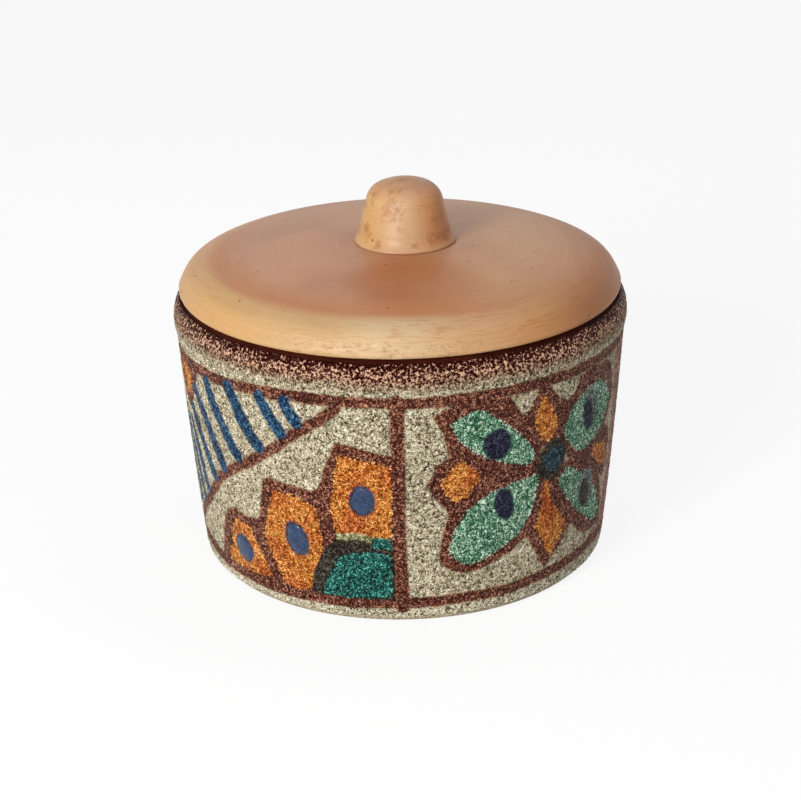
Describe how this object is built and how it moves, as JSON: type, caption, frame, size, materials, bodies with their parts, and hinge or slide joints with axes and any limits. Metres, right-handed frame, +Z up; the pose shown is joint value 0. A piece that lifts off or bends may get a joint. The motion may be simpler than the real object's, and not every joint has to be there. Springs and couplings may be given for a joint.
{
  "type": "lidded ceramic box",
  "caption": "Low round earthenware box with a leaning wall, rolled rim and gritty painted coat, closed by a plain domed clay lid that drops into the mouth and lifts by its knob.",
  "frame": {"origin": "centre of the flat resting face under the foot", "axes": "+Z up along the turning axis; -Y is the side that the picture shows, +X is to the viewer's right"},
  "size_m": [0.1302, 0.1302, 0.1095],
  "materials": {
    "pot_clay": "fired red-brown earthenware, bare and matt underneath, dark brown glaze inside and on the rim",
    "painted_coat": "coarse sand-slip coat, cream, hand painted in brown, orange, green and blue, satin with glints",
    "lid_clay": "plain turned buff earthenware, burnished, softly shining, with fine turning lines and pits"
  },
  "bodies": {
    "pot": {"pot_body": "pot_clay", "sand_slip_coat": "painted_coat"},
    "lid": {"lid_disc": "lid_clay", "lid_locating_ring": "lid_clay", "lid_knob": "lid_clay"}
  },
  "joints": [
    {"name": "lid_lift", "type": "slide", "parent": "pot", "child": "lid", "axis": [0, 0, 1], "range_m": [0, 0.06]}
  ]
}
